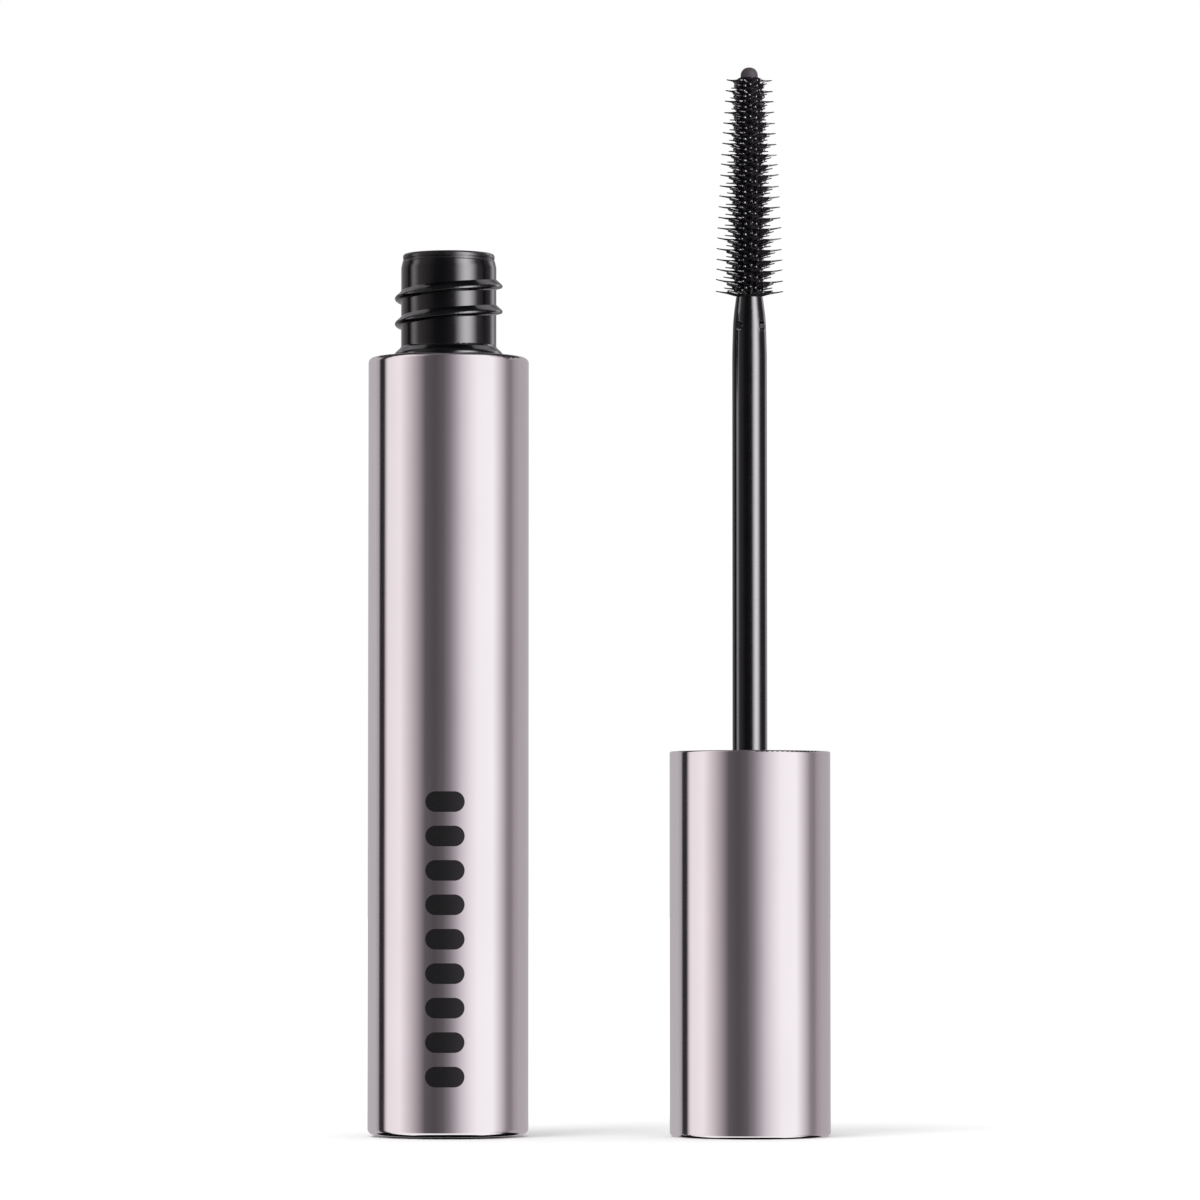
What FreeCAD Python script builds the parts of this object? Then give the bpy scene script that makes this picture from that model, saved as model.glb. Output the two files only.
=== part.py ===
import FreeCAD, Part
import math
import os

# A mascara, unscrewed: the tube stands upright on the Z axis, and the applicator stands beside it on
# the closed end of its cap, brush up. Millimetres, Z up, origin at the centre of the tube's base.

# ---- Driving dimensions ---------------------------------------------------------------------------
CASE_R = 9.0             # outer radius of the sleeve and of the cap
SHELL_WALL = 0.5         # drawn metal
SLIP = 0.05              # clearance of a part that slips into another
APPLICATOR_X = 33.8      # from the tube's axis to the applicator's

# Tube
SLEEVE_TOP = 87.2
SLEEVE_FOOT = 0.2        # the rolled edge clears the ground by this much
SHOULDER_WALL = 0.6
SHOULDER_ROUND = 0.6
FOOT_ROUND = 0.7
FOOT_LIP_R = 7.6         # inner radius of the rolled edge
PLUG_TOP = 3.2
PLUG_RIM_WALL = 1.2
PLUG_LEAD_IN = 0.5
PLUG_DISC_THICK = 0.6
LABEL_R = 6.0
LABEL_THICK = 0.1

# Vial and its neck, heights from the top of the sleeve
VIAL_R = 8.3
VIAL_WALL = 1.1
VIAL_FLOOR = 1.5
VIAL_THROAT = 1.2        # the neck's bore runs on this far below the vial's shoulder
VIAL_FUNNEL = 4.0        # the reservoir reaches its full width this far below the shoulder
FLARE_R = 6.2
FLARE_COLLAR = 0.55
FLARE_SLANT = 0.15       # the collar draws in by this much over its height
FLARE_HEIGHT = 1.20
NECK_R = 5.35
NECK_BORE_R = 4.3
NECK_HEIGHT = 10.85
NECK_TAPER = 0.15        # the neck draws in by this much at its mouth
NECK_TAPER_HEIGHT = 0.7

# Wiper
FLANGE_R = 5.15
FLANGE_THICK = 0.85
GROOVE_FOOT = 0.15       # a fine groove runs round the flange, this far above its seat
GROOVE_WIDTH = 0.17
GROOVE_DEPTH = 0.20
WIPER_WALL = 0.5
WIPER_BARREL = 8.0
WIPER_CONE = 3.0
WIPER_SLIP = 0.02        # the barrel is a push fit in the neck
ORIFICE_R = 2.1
ORIFICE_LAND = 1.2

# Screw thread, right-handed
THREAD_PITCH = 2.85
THREAD_CREST_R = 6.07
RIDGE_BITE = 0.2         # the ridge's root lies this deep in its wall
RIDGE_NOSE = 0.1         # height of the rounded crest
RIDGE_NOSE_HALF = 0.20   # half its axial width
RIDGE_FOOT = 0.2         # the flanks fan out below this share of the ridge's height
RIDGE_FOOT_SPREAD = 0.47 # and have this share of their axial reach there
NECK_RIDGE_LOW = -0.75   # axial reach of the neck's ridge, below and above its path
NECK_RIDGE_HIGH = 1.35
NECK_TURNS = 2.0
NECK_START_DEG = 90.0    # the neck's thread starts at the back
NECK_START_HEIGHT = 3.1  # above the top of the sleeve
RUN_OUT_DEG = 35.0       # the ridge sinks into its wall over this much of a turn at each end
CAP_ROOT_R = 6.2
CAP_MINOR_R = 5.5
CAP_RIDGE_HALF = 0.75    # half the axial width of the cap's ridge
CAP_TURNS = 1.5
CAP_START_DEG = 180.0

# Cap
CAP_HEIGHT = 43.0
CAP_END_WALL = 0.6
CAP_END_ROUND = 0.5
CAP_RIM_ROUND = 0.2
CLOSED_GAP = 0.15        # between the cap's rim and the sleeve when it is screwed on
LINER_RECESS = 1.4       # the liner's rim lies this far inside the cap's rim, clear of the flare
LINER_FOOT = 14.0
LINER_GAP = 0.15         # between the liner and the shell, bridged by the ribs
LINER_WALL = 1.15
CAVITY_FLOOR = 30.5
FLOOR_WALL = 1.6
SOCKET_R = 3.6           # outside of the wand's socket
SOCKET_FOOT = 18.0
RIB_COUNT = 12
RIB_WIDTH = 0.8
RIB_DEPTH = 0.4
RIB_SLIP = 0.02          # the ribs are a push fit in the shell
RIB_END = 1.5            # the ribs stop this far from both ends of the liner
WEIGHT_R = 7.9
WEIGHT_TOP = 13.0
GASKET_R = 5.0
GASKET_THICK = 0.8
GASKET_SLIP = 0.07       # around the wand

# Wand and brush
WAND_R = 1.95
WAND_ROOT = 20.0
WAND_TAPER_START = 87.6
WAND_SHOULDER_R = 1.84   # the taper steepens here
WAND_SHOULDER_Z = 91.5
WAND_TOP = 94.1
WAND_TIP_R = 1.50
PIN_R = 1.0
PIN_ROOT = 84.5
PIN_CLEARANCE = 0.5      # below the pin's end, in the wand's bore
PIN_WAIST_R = 0.5        # the pin is drawn in behind the windows
PIN_WAIST_HALF = 0.75    # half the waist's length
WINDOW_R = 0.56          # round windows in the wand, where lugs of the brush's pin show
WINDOW_Z = 90.75
WINDOW_START_DEG = -40.0
WINDOW_COUNT = 4
LUG_R = 0.20
LUG_REACH = 1.42         # from the axis to the lug's face
CORE_ROOT_R = 1.15
CORE_TIP_R = 0.85
DOME_HEIGHT = 1.2
DOME_FOOT_R = 1.0
DOME_R = 0.88
DOME_ROUND = 0.86
BRUSH_TOP = 120.0
SLEEVE_ROOT_R = 1.75     # elastomer sleeve at the wand
SLEEVE_TIP_R = 1.35      # elastomer sleeve at the domed tip
ROW_COUNT = 21
ROW_PITCH = 1.2
FIRST_ROW_Z = 94.45
ROW_THICK = 0.26         # a ring's half thickness at its root
ROW_R_START = 3.80       # reach of the first row, at the wand
ROW_R_END = 2.53         # reach of the last row, at the tip
REACH_SLOPE = 0.45       # share of the fall in reach that is straight, and the rest is curved

UP = FreeCAD.Vector(0, 0, 1)


# ---- Shape helpers --------------------------------------------------------------------------------
def rounded_outline(corners):
    """Closed wire in the XZ plane from (radius, height) or (radius, height, rounding) corners."""
    points = [FreeCAD.Vector(corner[0], 0, corner[1]) for corner in corners]
    roundings = [corner[2] if len(corner) > 2 else 0.0 for corner in corners]
    edges = []
    last = None
    first = None
    for index, point in enumerate(points):
        back = (points[index - 1] - point).normalize()
        ahead = (points[(index + 1) % len(points)] - point).normalize()
        if roundings[index] == 0.0:
            start = end = point
            arc = None
        else:
            half_angle = back.getAngle(ahead) / 2
            reach = roundings[index] / math.tan(half_angle)
            start = point + back * reach
            end = point + ahead * reach
            inward = (back + ahead).normalize()
            middle = point + inward * (roundings[index] / math.sin(half_angle) - roundings[index])
            arc = Part.Arc(start, middle, end).toShape()
        if last is not None and last.distanceToPoint(start) > 1e-6:
            edges.append(Part.makeLine(last, start))
        if arc is not None:
            edges.append(arc)
        if first is None:
            first = start
        last = end
    if last.distanceToPoint(first) > 1e-6:
        edges.append(Part.makeLine(last, first))
    return Part.Wire(edges)


def turned(corners):
    """Solid of revolution about the Z axis."""
    face = Part.Face(rounded_outline(corners))
    return face.revolve(FreeCAD.Vector(0, 0, 0), UP, 360)


def cylinder(radius, low, high):
    return Part.makeCylinder(radius, high - low, FreeCAD.Vector(0, 0, low))


def ridge_section(height, low, high):
    """Points of a ridge's outline as (radial, axial). height is negative on an inner wall."""
    outward = math.copysign(1.0, height)
    nose_foot = height - outward * RIDGE_NOSE
    return [
        (-outward * RIDGE_BITE, low),
        (height * RIDGE_FOOT, low * RIDGE_FOOT_SPREAD),
        (nose_foot, -RIDGE_NOSE_HALF),
        (height, 0.0),
        (nose_foot, RIDGE_NOSE_HALF),
        (height * RIDGE_FOOT, high * RIDGE_FOOT_SPREAD),
        (-outward * RIDGE_BITE, high),
    ]


def thread_ridge(section, radius, sink, turns, start_deg, start_z):
    """Helical ridge. section is (radial, axial) from the path, and sink moves both its ends radially."""
    step_deg = 10.0
    sweep_deg = 360.0 * turns
    count = round(sweep_deg / step_deg)
    path_points = []
    for index in range(count + 1):
        turned_deg = sweep_deg * index / count
        to_end = min(turned_deg, sweep_deg - turned_deg) / RUN_OUT_DEG
        depth = sink * (1 + math.cos(math.pi * min(to_end, 1.0))) / 2
        angle = math.radians(start_deg + turned_deg)
        reach = radius - depth
        height = start_z + THREAD_PITCH * turned_deg / 360.0
        path_points.append(FreeCAD.Vector(reach * math.cos(angle), reach * math.sin(angle), height))
    path = Part.BSplineCurve()
    path.interpolate(path_points)
    outward = FreeCAD.Vector(math.cos(math.radians(start_deg)), math.sin(math.radians(start_deg)), 0)
    outline_points = [path_points[0] + outward * radial + UP * axial for radial, axial in section]
    outline = Part.BSplineCurve()
    outline.interpolate(outline_points)
    profile = Part.Wire([outline.toShape(), Part.makeLine(outline_points[-1], outline_points[0])])
    sweep = Part.BRepOffsetAPI.MakePipeShell(Part.Wire([path.toShape()]))
    sweep.setBiNormalMode(UP)
    sweep.add(profile)
    sweep.build()
    sweep.makeSolid()
    ridge = sweep.shape()
    if ridge.Volume < 0:
        ridge.reverse()
    return ridge


def on_applicator(shape):
    """Move a shape modelled on the Z axis to the applicator's axis."""
    return shape.translated(FreeCAD.Vector(APPLICATOR_X, 0, 0))


# ---- Tube -----------------------------------------------------------------------------------------
def make_tube_sleeve():
    inner_r = CASE_R - SHELL_WALL
    hole_r = FLARE_R + SLIP
    underside = SLEEVE_TOP - SHOULDER_WALL
    return turned([
        (FOOT_LIP_R, SLEEVE_FOOT),
        (CASE_R, SLEEVE_FOOT, FOOT_ROUND),
        (CASE_R, SLEEVE_TOP, SHOULDER_ROUND),
        (hole_r, SLEEVE_TOP, SHOULDER_WALL / 4),
        (hole_r, underside),
        (inner_r, underside, SHOULDER_ROUND - SHELL_WALL),
        (inner_r, SLEEVE_FOOT + SHELL_WALL, FOOT_ROUND - SHELL_WALL),
        (FOOT_LIP_R, SLEEVE_FOOT + SHELL_WALL),
    ])


def make_vial():
    floor = PLUG_TOP + SLIP
    shoulder = SLEEVE_TOP - SHOULDER_WALL - SLIP
    neck_top = SLEEVE_TOP + NECK_HEIGHT
    inner_r = VIAL_R - VIAL_WALL
    vial = turned([
        (0, floor),
        (VIAL_R, floor, 0.8),
        (VIAL_R, shoulder, 0.5),
        (FLARE_R, shoulder),
        (FLARE_R, SLEEVE_TOP),
        (FLARE_R - FLARE_SLANT, SLEEVE_TOP + FLARE_COLLAR, 0.6),
        (NECK_R, SLEEVE_TOP + FLARE_HEIGHT, 0.35),
        (NECK_R, neck_top - NECK_TAPER_HEIGHT, 1.2),
        (NECK_R - NECK_TAPER, neck_top, 0.1),
        (NECK_BORE_R, neck_top),
        (NECK_BORE_R, shoulder - VIAL_THROAT, 1.0),
        (inner_r, shoulder - VIAL_FUNNEL, 1.5),
        (inner_r, floor + VIAL_FLOOR, 2.5),
        (0, floor + VIAL_FLOOR),
    ])
    ridge_height = THREAD_CREST_R - NECK_R
    section = ridge_section(ridge_height, NECK_RIDGE_LOW, NECK_RIDGE_HIGH)
    start_z = SLEEVE_TOP + NECK_START_HEIGHT
    ridge = thread_ridge(section, NECK_R, ridge_height, NECK_TURNS, NECK_START_DEG, start_z)
    return vial.fuse(ridge)


def make_wiper():
    seat = SLEEVE_TOP + NECK_HEIGHT
    top = seat + FLANGE_THICK
    groove = seat + GROOVE_FOOT
    barrel_r = NECK_BORE_R - WIPER_SLIP
    cone_top = seat - WIPER_BARREL
    cone_foot = cone_top - WIPER_CONE
    return turned([
        (barrel_r, cone_top, 0.4),
        (barrel_r, seat),
        (FLANGE_R, seat),
        (FLANGE_R, groove),
        (FLANGE_R - GROOVE_DEPTH, groove),
        (FLANGE_R - GROOVE_DEPTH, groove + GROOVE_WIDTH),
        (FLANGE_R, groove + GROOVE_WIDTH),
        (FLANGE_R, top, 0.3),
        (barrel_r - WIPER_WALL, top, 0.3),
        (barrel_r - WIPER_WALL, cone_top, 0.5),
        (ORIFICE_R, cone_foot),
        (ORIFICE_R, cone_foot - ORIFICE_LAND),
        (ORIFICE_R + WIPER_WALL, cone_foot - ORIFICE_LAND, 0.15),
        (ORIFICE_R + WIPER_WALL, cone_foot),
    ])


def make_base_plug():
    disc_r = FOOT_LIP_R - SLIP
    flange_r = CASE_R - SHELL_WALL - SLIP
    flange_foot = SLEEVE_FOOT + SHELL_WALL + SLIP
    return turned([
        (0, LABEL_THICK),
        (LABEL_R + SLIP, LABEL_THICK),
        (LABEL_R + SLIP, 0),
        (disc_r, 0, 0.1),
        (disc_r, flange_foot),
        (flange_r - PLUG_LEAD_IN, flange_foot),
        (flange_r, flange_foot + PLUG_LEAD_IN),
        (flange_r, PLUG_TOP),
        (flange_r - PLUG_RIM_WALL, PLUG_TOP),
        (flange_r - PLUG_RIM_WALL, flange_foot + PLUG_DISC_THICK),
        (0, flange_foot + PLUG_DISC_THICK),
    ])


def make_base_label():
    return cylinder(LABEL_R, 0, LABEL_THICK)


# ---- Applicator, modelled on the Z axis -----------------------------------------------------------
def make_cap_shell():
    inner_r = CASE_R - SHELL_WALL
    return turned([
        (0, 0),
        (CASE_R, 0, CAP_END_ROUND),
        (CASE_R, CAP_HEIGHT, CAP_RIM_ROUND),
        (inner_r, CAP_HEIGHT, 0.1),
        (inner_r, CAP_END_WALL, 0.3),
        (0, CAP_END_WALL),
    ])


def make_cap_weight():
    return turned([
        (0, CAP_END_WALL + SLIP),
        (WEIGHT_R, CAP_END_WALL + SLIP, 0.4),
        (WEIGHT_R, WEIGHT_TOP, 0.4),
        (0, WEIGHT_TOP),
    ])


def make_cap_liner():
    rim = CAP_HEIGHT - LINER_RECESS
    shell_inner_r = CASE_R - SHELL_WALL
    liner_r = shell_inner_r - LINER_GAP
    skirt_r = liner_r - LINER_WALL
    underside = CAVITY_FLOOR - FLOOR_WALL
    body = turned([
        (WAND_R, SOCKET_FOOT),
        (SOCKET_R, SOCKET_FOOT, 0.3),
        (SOCKET_R, underside, 0.5),
        (skirt_r, underside, 0.5),
        (skirt_r, LINER_FOOT),
        (liner_r, LINER_FOOT, 0.3),
        (liner_r, rim, 0.3),
        (CAP_ROOT_R, rim, 0.4),
        (CAP_ROOT_R, CAVITY_FLOOR, 0.3),
        (WAND_R, CAVITY_FLOOR),
    ])
    for index in range(RIB_COUNT):
        rib = Part.makeBox(RIB_DEPTH, RIB_WIDTH, rim - LINER_FOOT - 2 * RIB_END)
        rib_inner_r = shell_inner_r - RIB_SLIP - RIB_DEPTH
        rib.translate(FreeCAD.Vector(rib_inner_r, -RIB_WIDTH / 2, LINER_FOOT + RIB_END))
        rib.rotate(FreeCAD.Vector(0, 0, 0), UP, 360.0 * index / RIB_COUNT)
        body = body.fuse(rib)
    ridge_height = CAP_ROOT_R - CAP_MINOR_R
    section = ridge_section(-ridge_height, -CAP_RIDGE_HALF, CAP_RIDGE_HALF)
    # Turned over and screwed home, this ridge lies midway between two turns of the neck's ridge.
    neck_ridge_middle = (NECK_RIDGE_LOW + NECK_RIDGE_HIGH) / 2
    mesh_height = NECK_START_HEIGHT + neck_ridge_middle + THREAD_PITCH / 2
    mesh_z = CAP_HEIGHT + CLOSED_GAP - mesh_height
    start_z = mesh_z - THREAD_PITCH * (NECK_START_DEG - CAP_START_DEG + 360.0) / 360.0
    ridge = thread_ridge(section, CAP_ROOT_R, -ridge_height, CAP_TURNS, CAP_START_DEG, start_z)
    return body.fuse(ridge)


def make_gasket():
    foot = CAVITY_FLOOR + SLIP
    inner_r = WAND_R + GASKET_SLIP
    return turned([
        (inner_r, foot),
        (GASKET_R, foot, 0.15),
        (GASKET_R, foot + GASKET_THICK, 0.15),
        (inner_r, foot + GASKET_THICK),
    ])


def radial_pins(radius, inner, outer):
    """A short cylinder at each of the wand's windows, from inner to outer radius."""
    pins = []
    for index in range(WINDOW_COUNT):
        angle = math.radians(WINDOW_START_DEG + 360.0 * index / WINDOW_COUNT)
        outward = FreeCAD.Vector(math.cos(angle), math.sin(angle), 0)
        pins.append(Part.makeCylinder(radius, outer - inner, outward * inner + UP * WINDOW_Z, outward))
    return pins


def make_wand():
    bore_r = PIN_R + SLIP
    bore_floor = PIN_ROOT - PIN_CLEARANCE
    wand = turned([
        (0, WAND_ROOT),
        (WAND_R, WAND_ROOT, 0.3),
        (WAND_R, WAND_TAPER_START, 60.0),
        (WAND_SHOULDER_R, WAND_SHOULDER_Z, 20.0),
        (WAND_TIP_R, WAND_TOP, 0.1),
        (bore_r, WAND_TOP),
        (bore_r, bore_floor),
        (0, bore_floor),
    ])
    return wand.cut(radial_pins(WINDOW_R, PIN_R / 2, 2 * WAND_R))


def make_brush_core():
    sleeve_foot = WAND_TOP + SLIP
    dome_foot = BRUSH_TOP - DOME_HEIGHT
    core = turned([
        (0, PIN_ROOT),
        (PIN_R, PIN_ROOT, 0.3),
        (PIN_R, WINDOW_Z - PIN_WAIST_HALF),
        (PIN_WAIST_R, WINDOW_Z - PIN_WAIST_HALF),
        (PIN_WAIST_R, WINDOW_Z + PIN_WAIST_HALF),
        (PIN_R, WINDOW_Z + PIN_WAIST_HALF),
        (PIN_R, sleeve_foot),
        (CORE_ROOT_R, sleeve_foot),
        (CORE_TIP_R, dome_foot),
        (DOME_FOOT_R, dome_foot),
        (DOME_R, BRUSH_TOP, DOME_ROUND),
        (0, BRUSH_TOP),
    ])
    return core.fuse(radial_pins(LUG_R, PIN_WAIST_R / 2, LUG_REACH))


def reach_at(z):
    """Reach of the long spikes: nearly level at the wand, and falling faster towards the tip."""
    along = (z - FIRST_ROW_Z) / (ROW_PITCH * (ROW_COUNT - 1))
    fall = REACH_SLOPE * along + (1 - REACH_SLOPE) * along ** 2
    return ROW_R_START + (ROW_R_END - ROW_R_START) * fall


def make_bristles():
    """Elastomer sleeve on the core, with a thin ring for each row of long spikes."""
    foot = WAND_TOP + SLIP
    top = BRUSH_TOP - DOME_HEIGHT
    corners = [(CORE_ROOT_R, foot), (SLEEVE_ROOT_R, foot)]
    for row in range(ROW_COUNT):
        z = FIRST_ROW_Z + ROW_PITCH * row
        share = (z - foot) / (top - foot)
        sleeve_r = SLEEVE_ROOT_R + (SLEEVE_TIP_R - SLEEVE_ROOT_R) * share
        reach = reach_at(z)
        corners += [
            (sleeve_r, z - ROW_THICK),
            (reach, z - ROW_THICK / 4),
            (reach, z + ROW_THICK / 4),
            (sleeve_r, z + ROW_THICK),
        ]
    corners += [(SLEEVE_TIP_R, top), (CORE_TIP_R, top)]
    return turned(corners)


# ---- Build ----------------------------------------------------------------------------------------
TUBE_PARTS = {
    "tube_sleeve": make_tube_sleeve,
    "vial": make_vial,
    "wiper": make_wiper,
    "base_plug": make_base_plug,
    "base_label": make_base_label,
}
APPLICATOR_PARTS = {
    "cap_shell": make_cap_shell,
    "cap_weight": make_cap_weight,
    "cap_liner": make_cap_liner,
    "gasket": make_gasket,
    "wand": make_wand,
    "brush_core": make_brush_core,
    "bristles": make_bristles,
}


def main():
    os.makedirs("parts", exist_ok=True)
    shapes = {name: make() for name, make in TUBE_PARTS.items()}
    shapes.update({name: on_applicator(make()) for name, make in APPLICATOR_PARTS.items()})
    for name, shape in shapes.items():
        shape.exportStep(f"parts/{name}.step")
        box = shape.BoundBox
        print(f"{name}: {len(shape.Solids)} solid, valid {shape.isValid()}, volume {shape.Volume:.1f} mm3, "
              f"z {box.ZMin:.2f} to {box.ZMax:.2f}")
    return shapes


main()
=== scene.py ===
"""Looks for the mascara: materials, brush, print, stage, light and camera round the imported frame."""
import math
import random
from collections import namedtuple

import bpy
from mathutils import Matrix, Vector


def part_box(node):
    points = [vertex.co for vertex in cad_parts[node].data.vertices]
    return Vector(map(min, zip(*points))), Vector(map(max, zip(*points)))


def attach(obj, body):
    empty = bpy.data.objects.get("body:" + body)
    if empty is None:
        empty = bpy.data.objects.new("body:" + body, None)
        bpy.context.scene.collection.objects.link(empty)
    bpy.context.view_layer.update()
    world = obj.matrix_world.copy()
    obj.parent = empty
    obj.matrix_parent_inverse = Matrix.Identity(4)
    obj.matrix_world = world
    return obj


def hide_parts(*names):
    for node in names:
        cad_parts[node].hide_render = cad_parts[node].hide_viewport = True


MM = 0.001

# ---- Brush, in millimetres ------------------------------------------------------------------------
SLEEVE_ROOT_R = 1.50         # elastomer sleeve at the wand
SLEEVE_TIP_R = 1.38          # elastomer sleeve at the domed tip
SLEEVE_EDGE_IN = 0.06        # how far the edges are drawn in,
SLEEVE_EDGE_HEIGHT = 0.08    # and over what height
SLEEVE_TOP_IN = 0.20         # how far the very top is drawn in
SLEEVE_TOP_HEIGHT = 0.25     # the top's rounding starts this far below it
SLEEVE_SIDES = 64
ROW_PITCH = 1.20             # from one long spike to the next in the same column
FIRST_ROW_ABOVE_WAND = 0.30
ROW_COUNT = 21
COLUMNS = 16
FIRST_COLUMN_DEG = 3.0
REACH_START = 3.84           # reach of the long spikes at the wand
REACH_END = 2.58             # reach of the long spikes at the tip
REACH_LINEAR = 0.45          # this much of the change from wand to tip follows the height,
REACH_SQUARED = 0.55         # and this much follows its square
LIFT_AT_WAND = 0.32          # the long spikes' tips stand this much higher than their roots
LIFT_AT_TIP = 0.10
LIFT_POWER = 1.6             # how late along the spike it lifts
BLUNT_SHARE = 0.71           # reach of the blunt spikes against the long ones
BLUNT_DROP = 0.22            # the blunt spikes stand this far below the long ones
BLUNT_LIFT = 0.22
MEDIUM_HEIGHT_AT_WAND = 0.55
MEDIUM_HEIGHT_AT_TIP = 0.36
MEDIUM_LIFT = 0.08
STUB_HEIGHT = 0.36
STUB_DROP = 0.10             # the stubs stand this far below their ring
STUB_LIFT = 0.05
ROOT_BITE = 0.12             # the spikes start this deep in the sleeve

# How unevenly the brush is moulded: factors on the lengths, and spreads either way.
BRUSH_SEED = 7
LONG_VARIES = (0.985, 1.0)
BLUNT_VARIES = (0.95, 1.05)
MEDIUM_VARIES = (0.85, 1.15)
STUB_VARIES = (0.8, 1.2)
LIFT_SPREAD = 0.07
HEIGHT_SPREAD = 0.03
SWAY_SPREAD = 0.12
ANGLE_SPREAD_DEG = 2.5

SpikeForm = namedtuple("SpikeForm", "root_r tip_r taper sides levels")
LONG_SPIKE = SpikeForm(0.24, 0.062, 1.8, 8, 7)
BLUNT_SPIKE = SpikeForm(0.30, 0.135, 1.1, 8, 5)
MEDIUM_SPIKE = SpikeForm(0.28, 0.165, 1.0, 8, 3)
STUB = SpikeForm(0.30, 0.220, 1.0, 8, 2)
ROUND_END = ((0.5, 0.87), (0.87, 0.5))   # distance and radius in the round end, in tip radii
END_FLAT = 0.1                           # the flat that closes it, in tip radii

# ---- Print, in millimetres ------------------------------------------------------------------------
PRINT_WIDTH = 4.4
PRINT_FOOT = 5.0
PRINT_TOP = 39.2
PRINT_BARS = 9
PRINT_BAR_SHARE = 0.60       # bar height as a share of the spacing
PRINT_OFFSET = -0.15         # to the left of the sleeve's middle
PRINT_COLUMNS = 48           # facets across one bar
INK_THICK = 0.012
INK_BITE = 0.02              # the ink starts this deep in the sleeve
INK_END_HALF = 0.001         # half height of a bar's very ends

# ---- Camera ---------------------------------------------------------------------------------------
VIEW_X = 0.0170
VIEW_Z = 0.0600
CAMERA_DISTANCE = 0.700
CAMERA_DROP = 0.030          # the camera sits this far below the point it looks at
FRAME_WIDTH = 0.1345         # width of the picture at the object
SENSOR = 36.0

# ---- Lights ---------------------------------------------------------------------------------------
KEY_DIRECTION = (-0.38, -0.42, 0.75)
KEY_IRRADIANCE = 0.9
KEY_SPREAD_DEG = 30
STRIP_DISTANCE = 0.62        # from the object to the strips that only the black pieces catch
STRIP_TINT = (1.0, 0.965, 1.0)

Strip = namedtuple("Strip", "name receivers angle_deg height_deg width height radiance")
STRIPS = (
    Strip("right_strip", "moulded_pieces", 44, 0, 0.78, 1.30, 18.0),
    Strip("left_strip", "moulded_pieces", -91, 0, 0.36, 0.70, 2.8),
    Strip("wand_right_strip", "wand", 44, 0, 0.78, 0.70, 26.0),
    Strip("wand_left_strip", "wand", -89, 0, 0.38, 0.70, 6.0),
    Strip("brush_right_strip", "brush", 50, 0, 0.90, 0.70, 44.0),
    Strip("brush_left_strip", "brush", -80, 0, 0.60, 0.70, 6.0),
    Strip("back_strip", "all_blacks", 136, 0, 0.40, 0.70, 2.0),
    Strip("back_left_top", "all_blacks", -138, 42, 0.50, 0.45, 1.2),
    Strip("back_right_top", "all_blacks", 140, 42, 0.50, 0.45, 1.5),
)
MOULDED_NODES = ("vial", "wiper", "cap_liner", "gasket", "brush_core")

# ---- Colours, linear ------------------------------------------------------------------------------
METAL = (0.83, 0.795, 0.815, 1)
BLACK = (0.0008, 0.0008, 0.0010, 1)
SOFT_BLACK = (0.0030, 0.0028, 0.0032, 1)
ELASTOMER = (0.0014, 0.0012, 0.0015, 1)
CORE_GREY = (0.023, 0.020, 0.023, 1)
INK = (0.0060, 0.0056, 0.0064, 1)
LABEL_GREY = (0.52, 0.50, 0.51, 1)
STEEL = (0.55, 0.55, 0.56, 1)
FLOOR_WHITE = (0.94, 0.94, 0.94, 1)

# ---- Shade in the wand's windows ------------------------------------------------------------------
HOLLOW_REACH = 0.9           # millimetres; a surface is in a hollow if its own walls are this near
HOLLOW_ROUGHNESS = 1.0
HOLLOW_BELOW = 0.4           # share of open view under which a surface is all dull
OPEN_ABOVE = 0.8             # share of open view over which it keeps its gloss


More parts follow.
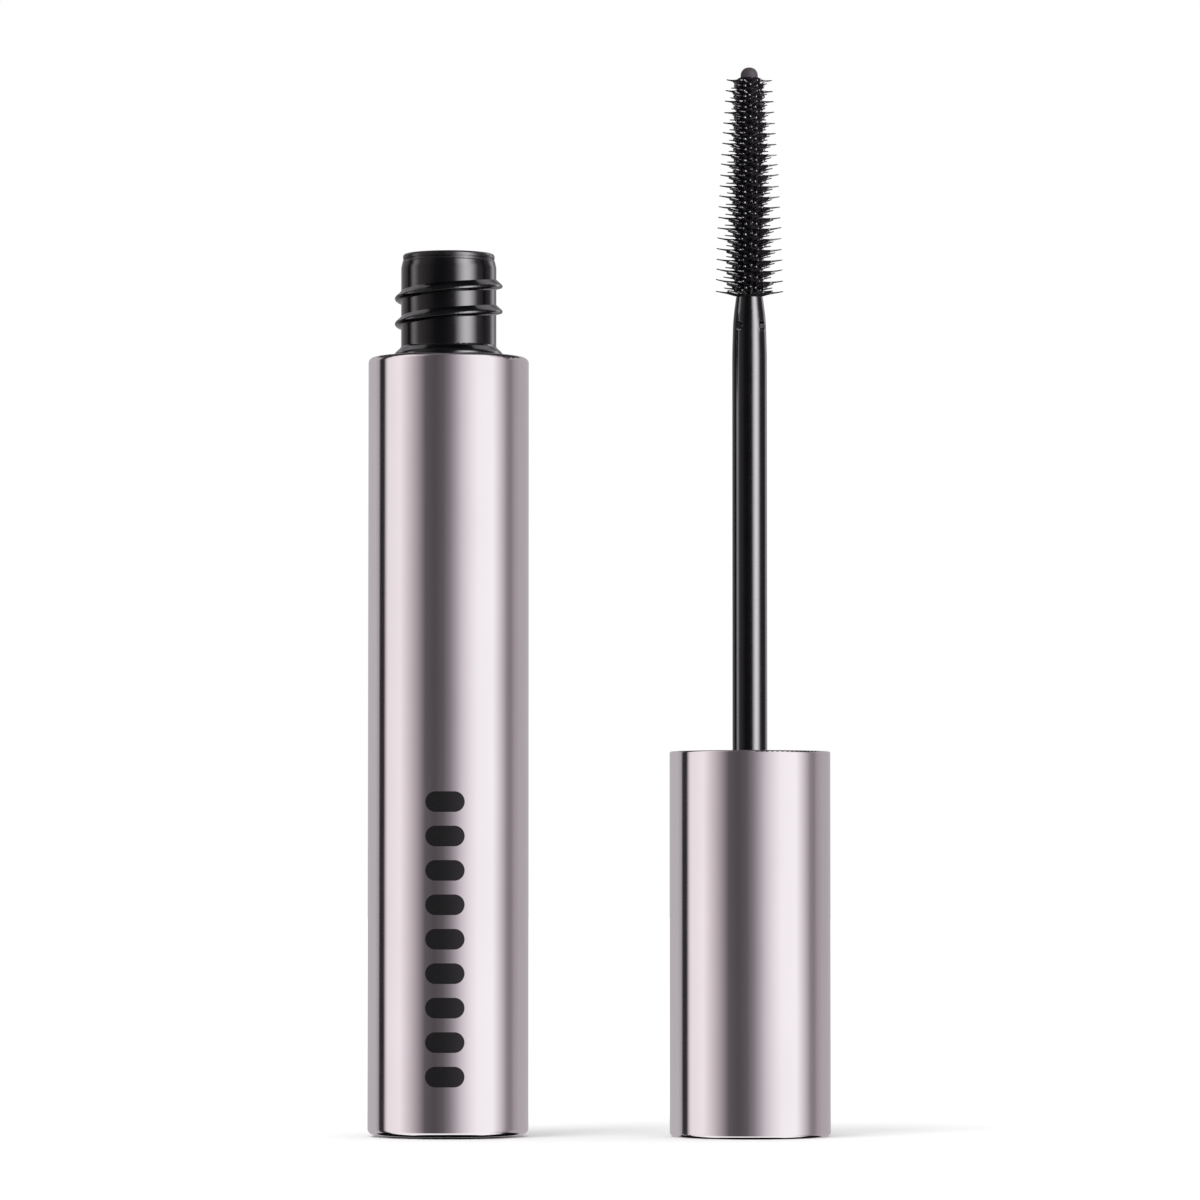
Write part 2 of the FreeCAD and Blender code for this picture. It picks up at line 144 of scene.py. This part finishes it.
# ---- Materials ------------------------------------------------------------------------------------
class Finish:
    """A material with one principled shader and short ways to add detail to it."""

    def __init__(self, name, colour, roughness, metallic=0.0):
        self.material = bpy.data.materials.new(name)
        self.material.use_nodes = True
        self.nodes = self.material.node_tree.nodes
        self.links = self.material.node_tree.links
        self.shader = self.nodes["Principled BSDF"]
        self.shader.inputs["Base Color"].default_value = colour
        self.shader.inputs["Roughness"].default_value = roughness
        self.shader.inputs["Metallic"].default_value = metallic
        self.place = self.nodes.new("ShaderNodeTexCoord").outputs["Object"]

    def noise(self, size_mm, stretch=(1, 1, 1), detail=3.0):
        """Noise whose blotches are about size_mm across, stretched by the three factors."""
        mapping = self.nodes.new("ShaderNodeMapping")
        mapping.inputs["Scale"].default_value = [1 / factor for factor in stretch]
        texture = self.nodes.new("ShaderNodeTexNoise")
        texture.inputs["Scale"].default_value = 1 / (size_mm * MM)
        texture.inputs["Detail"].default_value = detail
        self.links.new(self.place, mapping.inputs["Vector"])
        self.links.new(mapping.outputs["Vector"], texture.inputs["Vector"])
        return texture.outputs["Fac"]

    def between(self, factor, low, high, from_low=0.3, from_high=0.7):
        """A number that runs from low to high with the factor."""
        spread = self.nodes.new("ShaderNodeMapRange")
        spread.inputs["From Min"].default_value = from_low
        spread.inputs["From Max"].default_value = from_high
        spread.inputs["To Min"].default_value = low
        spread.inputs["To Max"].default_value = high
        self.links.new(factor, spread.inputs["Value"])
        return spread.outputs["Result"]

    def vary_roughness(self, factor, low, high):
        self.links.new(self.between(factor, low, high), self.shader.inputs["Roughness"])

    def dull_in_hollows(self):
        """Raise the roughness where the piece's own walls stand close round the surface."""
        openness = self.nodes.new("ShaderNodeAmbientOcclusion")
        openness.only_local = True
        openness.inputs["Distance"].default_value = HOLLOW_REACH * MM
        glossy_share = self.between(openness.outputs["AO"], 0.0, 1.0, HOLLOW_BELOW, OPEN_ABOVE)
        roughness = self.shader.inputs["Roughness"]
        mix = self.nodes.new("ShaderNodeMix")
        mix.inputs["A"].default_value = HOLLOW_ROUGHNESS
        self.links.new(roughness.links[0].from_socket, mix.inputs["B"])
        self.links.new(glossy_share, mix.inputs["Factor"])
        self.links.new(mix.outputs["Result"], roughness)

    def vary_colour(self, factor, dark, light):
        mix = self.nodes.new("ShaderNodeMix")
        mix.data_type = "RGBA"
        mix.inputs["A"].default_value = dark
        mix.inputs["B"].default_value = light
        self.links.new(self.between(factor, 0.0, 1.0), mix.inputs["Factor"])
        self.links.new(mix.outputs["Result"], self.shader.inputs["Base Color"])

    def bump(self, factor, depth_mm, strength=1.0):
        bump = self.nodes.new("ShaderNodeBump")
        bump.inputs["Distance"].default_value = depth_mm * MM
        bump.inputs["Strength"].default_value = strength
        self.links.new(factor, bump.inputs["Height"])
        self.links.new(bump.outputs["Normal"], self.shader.inputs["Normal"])


def shade(colour, factor):
    """The colour made darker or lighter by the factor."""
    return tuple(channel * factor for channel in colour[:3]) + (1,)


def polished_metal():
    finish = Finish("polished_metal", METAL, 0.08, metallic=1.0)
    finish.vary_roughness(finish.noise(0.9, stretch=(1, 1, 9)), 0.060, 0.105)
    finish.vary_colour(finish.noise(6.0, stretch=(1, 1, 3)), shade(METAL, 0.97), shade(METAL, 1.02))
    finish.bump(finish.noise(1.6, stretch=(1, 1, 12)), 0.0006, strength=0.25)
    return finish.material


def moulded_black(name, dull_hollows=False):
    finish = Finish(name, BLACK, 0.16)
    finish.shader.inputs["Specular IOR Level"].default_value = 0.3
    finish.vary_roughness(finish.noise(0.7), 0.12, 0.18)
    finish.vary_colour(finish.noise(2.5), shade(BLACK, 0.8), shade(BLACK, 1.3))
    finish.bump(finish.noise(0.5), 0.0006, strength=0.25)
    if dull_hollows:
        finish.dull_in_hollows()
    return finish.material


def wiper_plastic():
    finish = Finish("wiper_plastic", SOFT_BLACK, 0.28)
    finish.shader.inputs["Specular IOR Level"].default_value = 0.3
    finish.vary_roughness(finish.noise(0.6), 0.23, 0.31)
    finish.vary_colour(finish.noise(1.2), shade(SOFT_BLACK, 0.75), shade(SOFT_BLACK, 1.4))
    finish.bump(finish.noise(0.5), 0.001, strength=0.25)
    return finish.material


def core_plastic():
    finish = Finish("core_plastic", CORE_GREY, 0.55)
    finish.shader.inputs["Specular IOR Level"].default_value = 0.1
    finish.vary_roughness(finish.noise(0.4), 0.50, 0.62)
    finish.vary_colour(finish.noise(0.7), shade(CORE_GREY, 0.9), shade(CORE_GREY, 1.12))
    return finish.material


def brush_elastomer():
    finish = Finish("brush_elastomer", ELASTOMER, 0.28)
    finish.shader.inputs["Specular IOR Level"].default_value = 0.4
    finish.vary_roughness(finish.noise(0.3), 0.22, 0.32)
    finish.vary_colour(finish.noise(0.8), shade(ELASTOMER, 0.7), shade(ELASTOMER, 1.6))
    finish.bump(finish.noise(0.45, detail=0.0), 0.10, strength=0.5)
    return finish.material


def sleeve_elastomer():
    finish = Finish("sleeve_elastomer", ELASTOMER, 0.75)
    finish.shader.inputs["Specular IOR Level"].default_value = 0.03
    finish.vary_roughness(finish.noise(0.3), 0.68, 0.82)
    finish.vary_colour(finish.noise(0.8), shade(ELASTOMER, 0.7), shade(ELASTOMER, 1.6))
    return finish.material


def seal_rubber():
    finish = Finish("seal_rubber", shade(SOFT_BLACK, 1.6), 0.7)
    finish.vary_roughness(finish.noise(0.3), 0.62, 0.80)
    finish.bump(finish.noise(0.08), 0.004, strength=0.5)
    return finish.material


def label_film():
    finish = Finish("label_film", LABEL_GREY, 0.5)
    finish.vary_roughness(finish.noise(0.5), 0.42, 0.58)
    finish.vary_colour(finish.noise(0.25), shade(LABEL_GREY, 0.93), shade(LABEL_GREY, 1.05))
    finish.bump(finish.noise(0.15), 0.002, strength=0.4)
    return finish.material


def turned_steel():
    finish = Finish("turned_steel", STEEL, 0.3, metallic=1.0)
    finish.vary_roughness(finish.noise(0.4, stretch=(9, 9, 1)), 0.24, 0.40)
    finish.bump(finish.noise(0.1, stretch=(30, 30, 1)), 0.002, strength=0.5)
    return finish.material


def print_ink():
    finish = Finish("print_ink", INK, 0.32)
    finish.vary_roughness(finish.noise(0.2), 0.27, 0.40)
    finish.bump(finish.noise(0.08), 0.001, strength=0.4)
    return finish.material


def paint_nodes(nodes):
    """Give every node of the frame its finish, one material per slot of the record."""
    metal = polished_metal()
    black = moulded_black("moulded_black")
    finishes = {
        "tube_sleeve": metal,
        "cap_shell": metal,
        "vial": black,
        "base_plug": black,
        "cap_liner": black,
        "wand": moulded_black("wand_black", dull_hollows=True),
        "wiper": wiper_plastic(),
        "brush_core": core_plastic(),
        "gasket": seal_rubber(),
        "base_label": label_film(),
        "cap_weight": turned_steel(),
    }
    for name, material in finishes.items():
        for slot in nodes[name].material_slots:
            slot.material = material


# ---- Mesh helpers ---------------------------------------------------------------------------------
def mesh_object(name, points_mm, faces, material, smooth=True):
    """A mesh piece from points in millimetres."""
    mesh = bpy.data.meshes.new(name)
    mesh.from_pydata([Vector(point) * MM for point in points_mm], [], faces)
    mesh.polygons.foreach_set("use_smooth", [smooth] * len(faces))
    mesh.materials.append(material)
    mesh.validate()
    mesh.update()
    piece = bpy.data.objects.new(name, mesh)
    bpy.context.scene.collection.objects.link(piece)
    return piece


def circle(radius, sides):
    """Points (x, y) round a circle."""
    turns = (2 * math.pi * side / sides for side in range(sides))
    return [(radius * math.cos(turn), radius * math.sin(turn)) for turn in turns]


def add_tube(points, faces, rings):
    """Skin a list of rings, each a list of the same number of points, and close both ends."""
    sides = len(rings[0])
    first = len(points)
    for ring in rings:
        points.extend(ring)
    for level in range(len(rings) - 1):
        low = first + level * sides
        for side in range(sides):
            after = (side + 1) % sides
            faces.append((low + side, low + after, low + sides + after, low + sides + side))
    faces.append(tuple(first + side for side in reversed(range(sides))))
    top = first + (len(rings) - 1) * sides
    faces.append(tuple(top + side for side in range(sides)))


# ---- Brush ----------------------------------------------------------------------------------------
def lerp(low, high, share):
    return low + (high - low) * share


def brush_reach(share):
    """Reach of the long spikes, share 0 at the wand and 1 at the tip."""
    return lerp(REACH_START, REACH_END, REACH_LINEAR * share + REACH_SQUARED * share ** 2)


def spike_profile(form, length):
    """Distances from the root with the radius there: a taper and a round end."""
    profile = []
    straight = length - form.tip_r
    for level in range(form.levels + 1):
        share = level / form.levels
        profile.append((straight * share, lerp(form.tip_r, form.root_r, (1 - share) ** form.taper)))
    for distance, radius in ROUND_END:
        profile.append((straight + distance * form.tip_r, radius * form.tip_r))
    profile.append((length, END_FLAT * form.tip_r))
    return profile


def add_spike(points, faces, form, angle, foot, reach, lift, sway):
    """One spike out of the sleeve at foot, its tip lifted and swayed. foot is a point on the sleeve."""
    outward = Vector((math.cos(angle), math.sin(angle), 0))
    across = Vector((-math.sin(angle), math.cos(angle), 0))
    rings = []
    for distance, radius in spike_profile(form, reach):
        share = distance / reach
        centre = foot + outward * distance + across * (sway * share ** 2)
        centre.z += lift * share ** LIFT_POWER
        rings.append([centre + across * x + Vector((0, 0, y)) for x, y in circle(radius, form.sides)])
    add_tube(points, faces, rings)


def make_sleeve(material, axis, foot, top):
    """The matt elastomer sleeve that carries the spikes."""
    profile = (
        (foot, SLEEVE_ROOT_R - SLEEVE_EDGE_IN),
        (foot + SLEEVE_EDGE_HEIGHT, SLEEVE_ROOT_R),
        (top - SLEEVE_TOP_HEIGHT, SLEEVE_TIP_R),
        (top - SLEEVE_EDGE_HEIGHT, SLEEVE_TIP_R - SLEEVE_EDGE_IN),
        (top, SLEEVE_TIP_R - SLEEVE_TOP_IN),
    )
    rings = [
        [axis + Vector((x, y, z)) for x, y in circle(radius, SLEEVE_SIDES)]
        for z, radius in profile
    ]
    points, faces = [], []
    add_tube(points, faces, rings)
    sleeve = mesh_object("brush_sleeve", points, faces, material)
    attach(sleeve, "applicator")
    return sleeve


def plan_spike(ring, column, share, sleeve_r, draw):
    """Form, reach from the axis, lift and drop of the spike at a place on the brush."""
    if column % 4 == (ring % 2) * 2:
        reach = brush_reach(share) * draw.uniform(*LONG_VARIES)
        lift = lerp(LIFT_AT_WAND, LIFT_AT_TIP, share) + draw.uniform(-LIFT_SPREAD, LIFT_SPREAD)
        return LONG_SPIKE, reach, lift, 0.0
    if column % 2 == 0:
        height = lerp(MEDIUM_HEIGHT_AT_WAND, MEDIUM_HEIGHT_AT_TIP, share)
        return MEDIUM_SPIKE, sleeve_r + height * draw.uniform(*MEDIUM_VARIES), MEDIUM_LIFT, 0.0
    if ring % 2 == 0:
        reach = brush_reach(share) * BLUNT_SHARE * draw.uniform(*BLUNT_VARIES)
        return BLUNT_SPIKE, reach, BLUNT_LIFT, BLUNT_DROP
    return STUB, sleeve_r + STUB_HEIGHT * draw.uniform(*STUB_VARIES), STUB_LIFT, STUB_DROP


def make_brush(material, sleeve_material):
    """Moulded brush: a sleeve with rings of four long spikes, turned an eighth from ring to ring,
    with blunt spikes just below every other ring and medium spikes and stubs between."""
    low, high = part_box("bristles")
    axis = Vector(((low.x + high.x) / 2 / MM, (low.y + high.y) / 2 / MM, 0))
    foot = low.z / MM
    top = high.z / MM
    draw = random.Random(BRUSH_SEED)
    sleeve = make_sleeve(sleeve_material, axis, foot, top)
    points, faces = [], []
    rings = 2 * ROW_COUNT - 1
    for ring in range(rings):
        share = ring / (rings - 1)
        z = foot + FIRST_ROW_ABOVE_WAND + ring * ROW_PITCH / 2
        sleeve_r = lerp(SLEEVE_ROOT_R, SLEEVE_TIP_R, share)
        root = sleeve_r - ROOT_BITE
        for column in range(COLUMNS):
            form, reach, lift, drop = plan_spike(ring, column, share, sleeve_r, draw)
            column_deg = FIRST_COLUMN_DEG + 360 * column / COLUMNS
            angle = math.radians(column_deg + draw.uniform(-ANGLE_SPREAD_DEG, ANGLE_SPREAD_DEG))
            sway = draw.uniform(-SWAY_SPREAD, SWAY_SPREAD)
            root_z = max(z - drop + draw.uniform(-HEIGHT_SPREAD, HEIGHT_SPREAD), foot + form.root_r)
            place = axis + Vector((root * math.cos(angle), root * math.sin(angle), root_z))
            add_spike(points, faces, form, angle, place, reach - root, lift, sway)
    brush = mesh_object("moulded_brush", points, faces, material)
    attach(brush, "applicator")
    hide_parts("bristles")
    return [brush, sleeve]


# ---- Print ----------------------------------------------------------------------------------------
def make_print(material):
    """A column of plain rounded bars printed on the front of the sleeve."""
    low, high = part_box("tube_sleeve")
    wall_r = (high.x - low.x) / 2 / MM
    spacing = (PRINT_TOP - PRINT_FOOT) / PRINT_BARS
    half_height = spacing * PRINT_BAR_SHARE / 2
    half_width = PRINT_WIDTH / 2
    points, faces = [], []
    for bar in range(PRINT_BARS):
        centre_z = PRINT_FOOT + spacing * (bar + 0.5)
        rings = []
        for column in range(PRINT_COLUMNS + 1):
            across = -half_width * math.cos(math.pi * column / PRINT_COLUMNS)
            past_straight = max(0.0, abs(across) - (half_width - half_height))
            half = math.sqrt(max(half_height ** 2 - past_straight ** 2, INK_END_HALF ** 2))
            angle = (across + PRINT_OFFSET) / wall_r
            corners = (
                (wall_r - INK_BITE, centre_z - half),
                (wall_r + INK_THICK, centre_z - half),
                (wall_r + INK_THICK, centre_z + half),
                (wall_r - INK_BITE, centre_z + half),
            )
            rings.append([
                Vector((radius * math.sin(angle), -radius * math.cos(angle), z))
                for radius, z in corners
            ])
        add_tube(points, faces, rings)
    ink = mesh_object("printed_bars", points, faces, material, smooth=False)
    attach(ink, "tube")
    return ink


UNMIRRORED_NODES = (
    "tube_sleeve",
    "vial",
    "base_plug",
    "base_label",
    "cap_shell",
    "cap_liner",
    "cap_weight",
    "gasket",
    "wand",
    "brush_core",
)


def keep_out_of_reflections(pieces):
    """The tube and the applicator are lit as if each stood alone, so neither mirrors the other."""
    for piece in pieces:
        piece.visible_glossy = False


# ---- Stage, light and camera ----------------------------------------------------------------------
FLOOR_R = 3000.0             # millimetres
FLOOR_SIDES = 96


def make_floor():
    points = [(x, y, 0) for x, y in circle(FLOOR_R, FLOOR_SIDES)]
    finish = Finish("studio_floor", FLOOR_WHITE, 0.9)
    finish.shader.inputs["Specular IOR Level"].default_value = 0.0
    finish.vary_colour(finish.noise(300), shade(FLOOR_WHITE, 0.99), FLOOR_WHITE)
    floor = mesh_object("studio_floor", points, [tuple(range(FLOOR_SIDES))], finish.material)
    floor.visible_glossy = False


# Brightness and tint of the studio round the object, by the angle from the camera's side to the right.
STUDIO_BANDS = (
    (-180, (0.50, 0.47, 0.49)),
    (-128, (0.54, 0.51, 0.53)),
    (-118, (0.42, 0.39, 0.41)),
    (-115, (0.060, 0.054, 0.060)),
    (-113.5, (0.030, 0.026, 0.030)),
    (-104.5, (0.030, 0.026, 0.030)),
    (-100.5, (0.60, 0.55, 0.57)),
    (-96, (0.93, 0.87, 0.89)),
    (-72, (1.02, 0.95, 0.96)),
    (-50, (0.55, 0.49, 0.52)),
    (-32, (0.12, 0.108, 0.118)),
    (-18, (0.088, 0.079, 0.087)),
    (-6, (0.125, 0.112, 0.123)),
    (3, (0.24, 0.215, 0.235)),
    (12, (0.44, 0.40, 0.43)),
    (21, (0.69, 0.64, 0.67)),
    (32, (0.90, 0.86, 0.88)),
    (44, (1.05, 1.02, 1.04)),
    (68, (1.08, 1.06, 1.08)),
    (80, (0.75, 0.70, 0.73)),
    (95, (0.30, 0.26, 0.28)),
    (103, (0.25, 0.22, 0.24)),
    (111, (0.38, 0.34, 0.36)),
    (125, (0.47, 0.43, 0.45)),
    (180, (0.50, 0.47, 0.49)),
)


SURROUND = (1.0, 1.0, 1.0, 1)                 # what the camera and diffuse light see
FLOOR_MIRRORED = (1.12, 1.10, 1.11, 1)
OVERHEAD_MIRRORED = (0.16, 0.15, 0.16, 1)
DARK_MIRRORED = (0.05, 0.045, 0.05, 1)
BLACK_MIRRORED = (0.004, 0.004, 0.005, 1)
BEHIND_FROM_DEG = (99, 106)                   # the back of the room fades in between these angles

# Heights where one part of the room fades into the next, as the Z of a unit vector towards them.
OVERHEAD_HEIGHTS = (0.78, 0.90)
DARK_BEHIND_HEIGHTS = (0.40, 0.50)
FLOOR_HEIGHTS = (-0.56, -0.66)
FAR_BELOW_HEIGHTS = (-0.88, -0.92)
BLACK_BEHIND_HEIGHTS = (-0.40, -0.50)


def make_studio():
    """White all round, except in reflections, which see a room: soft bands round the sides, grey
    overhead and dark behind it, white where the floor is near and black where it is far below."""
    world = bpy.data.worlds.new("studio")
    bpy.context.scene.world = world
    world.use_nodes = True
    world.cycles.sampling_method = "NONE"
    nodes = world.node_tree.nodes
    links = world.node_tree.links
    background = nodes["Background"]

    def math_node(operation, *inputs):
        node = nodes.new("ShaderNodeMath")
        node.operation = operation
        for socket, value in zip(node.inputs, inputs):
            if isinstance(value, (int, float)):
                socket.default_value = value
            else:
                links.new(value, socket)
        return node.outputs["Value"]

    def blend(factor, first, second):
        node = nodes.new("ShaderNodeMix")
        node.data_type = "RGBA"
        links.new(factor, node.inputs["Factor"])
        for key, value in (("A", first), ("B", second)):
            if isinstance(value, tuple):
                node.inputs[key].default_value = value
            else:
                links.new(value, node.inputs[key])
        return node.outputs["Result"]

    def step(value, start, end):
        node = nodes.new("ShaderNodeMapRange")
        node.interpolation_type = "SMOOTHSTEP"
        node.inputs["From Min"].default_value = start
        node.inputs["From Max"].default_value = end
        links.new(value, node.inputs["Value"])
        return node.outputs["Result"]

    direction = nodes.new("ShaderNodeSeparateXYZ")
    links.new(nodes.new("ShaderNodeTexCoord").outputs["Generated"], direction.inputs["Vector"])
    x, y, z = (direction.outputs[axis] for axis in "XYZ")
    angle = math_node("ARCTAN2", x, math_node("MULTIPLY", y, -1.0))
    turn = math_node("ADD", math_node("DIVIDE", angle, 2 * math.pi), 0.5)
    ramp = nodes.new("ShaderNodeValToRGB")
    links.new(turn, ramp.inputs["Fac"])
    elements = ramp.color_ramp.elements
    while len(elements) < len(STUDIO_BANDS):
        elements.new(0.5)
    for element, (degrees, colour) in zip(elements, STUDIO_BANDS):
        element.position = degrees / 360 + 0.5
        element.color = colour + (1,)
    behind = step(math_node("ABSOLUTE", angle), *(math.radians(degrees) for degrees in BEHIND_FROM_DEG))
    room = blend(step(z, *OVERHEAD_HEIGHTS), ramp.outputs["Color"], OVERHEAD_MIRRORED)
    room = blend(math_node("MULTIPLY", step(z, *DARK_BEHIND_HEIGHTS), behind), room, DARK_MIRRORED)
    room = blend(step(z, *FLOOR_HEIGHTS), room, FLOOR_MIRRORED)
    room = blend(step(z, *FAR_BELOW_HEIGHTS), room, BLACK_MIRRORED)
    room = blend(math_node("MULTIPLY", step(z, *BLACK_BEHIND_HEIGHTS), behind), room, BLACK_MIRRORED)
    mirrored = nodes.new("ShaderNodeLightPath").outputs["Is Glossy Ray"]
    links.new(blend(mirrored, SURROUND, room), background.inputs["Color"])


def key_light():
    """Distant light with a wide face, so that shadows are soft, and no reflection of its own."""
    data = bpy.data.lights.new("key", "SUN")
    data.energy = KEY_IRRADIANCE
    data.angle = math.radians(KEY_SPREAD_DEG)
    light = bpy.data.objects.new("key", data)
    light.rotation_mode = "QUATERNION"
    light.rotation_quaternion = Vector(KEY_DIRECTION).to_track_quat("Z", "Y")
    light.visible_glossy = False
    bpy.context.scene.collection.objects.link(light)


def strip_light(strip, receivers):
    """Light facing the object from a side, brightest down the middle of its face."""
    middle = Vector((VIEW_X, 0, VIEW_Z))
    angle = math.radians(strip.angle_deg)
    climb = math.radians(strip.height_deg)
    data = bpy.data.lights.new(strip.name, "AREA")
    data.shape = "RECTANGLE"
    data.size = strip.width
    data.size_y = strip.height
    data.color = STRIP_TINT
    data.energy = strip.radiance * math.pi * strip.width * strip.height
    data.use_nodes = True
    nodes = data.node_tree.nodes
    links = data.node_tree.links
    split = nodes.new("ShaderNodeSeparateXYZ")
    links.new(nodes.new("ShaderNodeNewGeometry").outputs["Parametric"], split.inputs["Vector"])
    fade = nodes.new("ShaderNodeMath")
    fade.operation = "PINGPONG"
    fade.inputs[1].default_value = 0.5
    links.new(split.outputs["X"], fade.inputs[0])
    profile = nodes.new("ShaderNodeMapRange")
    profile.interpolation_type = "SMOOTHSTEP"
    profile.inputs["From Max"].default_value = 0.5
    links.new(fade.outputs["Value"], profile.inputs["Value"])
    links.new(profile.outputs["Result"], nodes["Emission"].inputs["Strength"])
    light = bpy.data.objects.new(strip.name, data)
    towards = Vector((
        math.sin(angle) * math.cos(climb),
        -math.cos(angle) * math.cos(climb),
        math.sin(climb),
    ))
    light.location = middle + towards * STRIP_DISTANCE
    light.rotation_mode = "QUATERNION"
    light.rotation_quaternion = (-towards).to_track_quat("-Z", "Y")
    light.visible_camera = False
    light.light_linking.receiver_collection = receivers
    bpy.context.scene.collection.objects.link(light)


def receiver_group(name, pieces):
    """Pieces that a strip lights; the strip leaves all the others alone."""
    group = bpy.data.collections.new(name)
    for piece in pieces:
        group.objects.link(piece)
    return group


def make_lights(nodes, brush):
    key_light()
    moulded = [nodes[name] for name in MOULDED_NODES]
    wand = [nodes["wand"]]
    groups = {
        "moulded_pieces": receiver_group("moulded_pieces", moulded),
        "wand": receiver_group("wand", wand),
        "brush": receiver_group("brush", brush),
        "all_blacks": receiver_group("all_blacks", moulded + wand + brush),
    }
    for strip in STRIPS:
        strip_light(strip, groups[strip.receivers])


def make_camera():
    data = bpy.data.cameras.new("camera")
    data.sensor_width = SENSOR
    data.lens = SENSOR * CAMERA_DISTANCE / FRAME_WIDTH
    camera = bpy.data.objects.new("camera", data)
    target = Vector((VIEW_X, 0, VIEW_Z))
    camera.location = target + Vector((0, -CAMERA_DISTANCE, -CAMERA_DROP))
    camera.rotation_mode = "QUATERNION"
    camera.rotation_quaternion = (target - camera.location).to_track_quat("-Z", "Y")
    bpy.context.scene.collection.objects.link(camera)
    bpy.context.scene.camera = camera


# ---- Scene ----------------------------------------------------------------------------------------
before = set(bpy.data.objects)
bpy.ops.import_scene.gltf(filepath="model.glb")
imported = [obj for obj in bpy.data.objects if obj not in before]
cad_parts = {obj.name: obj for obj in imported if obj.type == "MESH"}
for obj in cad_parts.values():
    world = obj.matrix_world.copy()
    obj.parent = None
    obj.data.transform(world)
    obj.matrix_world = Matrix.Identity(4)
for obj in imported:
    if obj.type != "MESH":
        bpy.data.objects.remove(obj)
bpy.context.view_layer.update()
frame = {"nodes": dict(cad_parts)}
paint_nodes(frame["nodes"])
moulded_brush = make_brush(brush_elastomer(), sleeve_elastomer())
printed_bars = make_print(print_ink())
keep_out_of_reflections([frame["nodes"][name] for name in UNMIRRORED_NODES] + [printed_bars])
make_floor()
make_studio()
make_lights(frame["nodes"], moulded_brush)
make_camera()
bpy.context.scene.view_settings.view_transform = "Standard"
